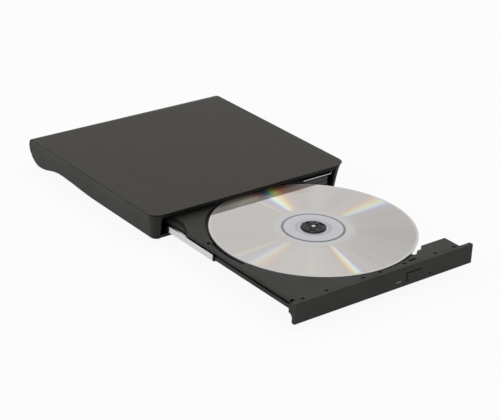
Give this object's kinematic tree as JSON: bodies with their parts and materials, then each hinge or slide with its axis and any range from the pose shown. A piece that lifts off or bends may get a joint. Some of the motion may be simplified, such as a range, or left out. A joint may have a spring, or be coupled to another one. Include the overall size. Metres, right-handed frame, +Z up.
{
  "type": "external optical disc drive",
  "caption": "Flat external disc drive with a rolled rear bulge, a tray that slides out on telescoping rails, an eject button, a spinning disc and a moving optical pickup.",
  "frame": {"origin": "on the table, under the centre of the open drive's footprint, on the case's centre plane", "axes": "+X right seen from the front, +Y to the rear, +Z up; the tray runs out towards -Y"},
  "size_m": [0.145, 0.2617, 0.02],
  "materials": {
    "lid_plastic": "fine wavy brushed texture moulded into charcoal plastic",
    "case_plastic": "satin black plastic",
    "bezel_plastic": "fine matt grain, black",
    "tray_plastic": "fine matt grain, black",
    "black_plastic": "satin black",
    "white_plastic": "natural acetal",
    "clear_plastic": "frosted light pipe",
    "ribbon": "flat flexible cable",
    "circuit_board": "green solder mask",
    "rubber": "matt black rubber",
    "sheet_steel": "zinc-plated sheet",
    "rail_steel": "bright rolled steel",
    "bright_steel": "ground or nickel-plated steel",
    "screw_steel": "black-zinc screws",
    "dark_metal": "die cast",
    "copper": "enamelled copper winding",
    "disc": "clear polycarbonate over a mirror layer with a fine spiral track",
    "lens_glass": "coated lens"
  },
  "bodies": {
    "case": {"top_cover": "lid_plastic", "bottom_cover": "case_plastic", "front_feet": "rubber", "rear_pads": "rubber", "case_screws": "screw_steel", "drive_top_case": "sheet_steel", "drive_bottom_case": "sheet_steel", "drive_screws": "screw_steel", "drive_bracket": "sheet_steel", "bracket_screw": "screw_steel", "rear_board": "circuit_board", "rear_plug": "black_plastic", "ribbon_cable": "ribbon", "striker_pin": "bright_steel", "bridge_board": "circuit_board", "bridge_socket": "black_plastic", "bridge_chips": "black_plastic", "usb_socket": "bright_steel", "board_screws": "screw_steel"},
    "left_slide": {"left_rail": "rail_steel"},
    "right_slide": {"right_rail": "rail_steel"},
    "drawer": {"tray": "tray_plastic", "bezel": "bezel_plastic", "light_window": "clear_plastic", "front_board": "circuit_board", "eject_switch": "bright_steel", "status_lamp": "clear_plastic", "main_board": "circuit_board", "main_chips": "black_plastic", "ribbon_socket": "white_plastic", "main_board_screws": "screw_steel", "deck_plate": "sheet_steel", "chassis": "dark_metal", "dampers": "rubber", "damper_screws": "screw_steel", "guide_rods": "bright_steel", "sled_motor": "bright_steel", "spindle_base": "sheet_steel", "spindle_coil": "copper", "latch_pin": "bright_steel", "latch_solenoid": "copper"},
    "button": {"eject_button": "bezel_plastic"},
    "spindle": {"spindle_shaft": "bright_steel", "spindle_rotor": "sheet_steel", "turntable": "black_plastic", "friction_ring": "rubber", "chuck_hub": "black_plastic", "chuck_claws": "black_plastic", "disc": "disc"},
    "pickup": {"pickup_carriage": "dark_metal", "drive_nut": "white_plastic", "actuator_yoke": "bright_steel"},
    "lens": {"lens_holder": "black_plastic", "objective_lens": "lens_glass"},
    "feed_screw": {"lead_screw": "bright_steel"},
    "latch": {"latch_lever": "white_plastic", "latch_armature": "bright_steel"}
  },
  "joints": [
    {"name": "tray_slide", "type": "slide", "parent": "case", "child": "drawer", "axis": [0, -1, 0], "range_m": [-0.118, 0], "deforming": ["ribbon_cable"]},
    {"name": "left_rail_slide", "type": "slide", "parent": "case", "child": "left_slide", "axis": [0, -1, 0], "range_m": [-0.059, 0]},
    {"name": "right_rail_slide", "type": "slide", "parent": "case", "child": "right_slide", "axis": [0, -1, 0], "range_m": [-0.059, 0]},
    {"name": "button_press", "type": "slide", "parent": "drawer", "child": "button", "axis": [0, 1, 0], "range_m": [0, 0.0005], "stiffness_N_per_m": 800},
    {"name": "spindle_spin", "type": "hinge", "parent": "drawer", "child": "spindle", "pos_m": [0.0024, -0.06455, 0.0142], "axis": [0, 0, 1], "continuous": true},
    {"name": "pickup_slide", "type": "slide", "parent": "drawer", "child": "pickup", "axis": [-0.7071, -0.7071, 0], "range_m": [0, 0.033]},
    {"name": "lens_focus", "type": "slide", "parent": "pickup", "child": "lens", "axis": [0, 0, 1], "range_m": [-0.0003, 0.0003], "stiffness_N_per_m": 100},
    {"name": "lead_screw_turn", "type": "hinge", "parent": "drawer", "child": "feed_screw", "pos_m": [0.01682, -0.07898, 0.0111], "axis": [-0.7071, -0.7071, 0], "continuous": true},
    {"name": "latch_turn", "type": "hinge", "parent": "drawer", "child": "latch", "pos_m": [0.0264, -0.11455, 0.0105], "axis": [0, 0, 1], "range_deg": [0, 8], "stiffness_Nm_per_rad": 0.005}
  ],
  "couplings": [
    {"joint": "left_rail_slide", "follows": "tray_slide", "ratio": 0.5},
    {"joint": "right_rail_slide", "follows": "tray_slide", "ratio": 0.5},
    {"joint": "lead_screw_turn", "follows": "pickup_slide", "rad_per_m": 2094.4}
  ]
}
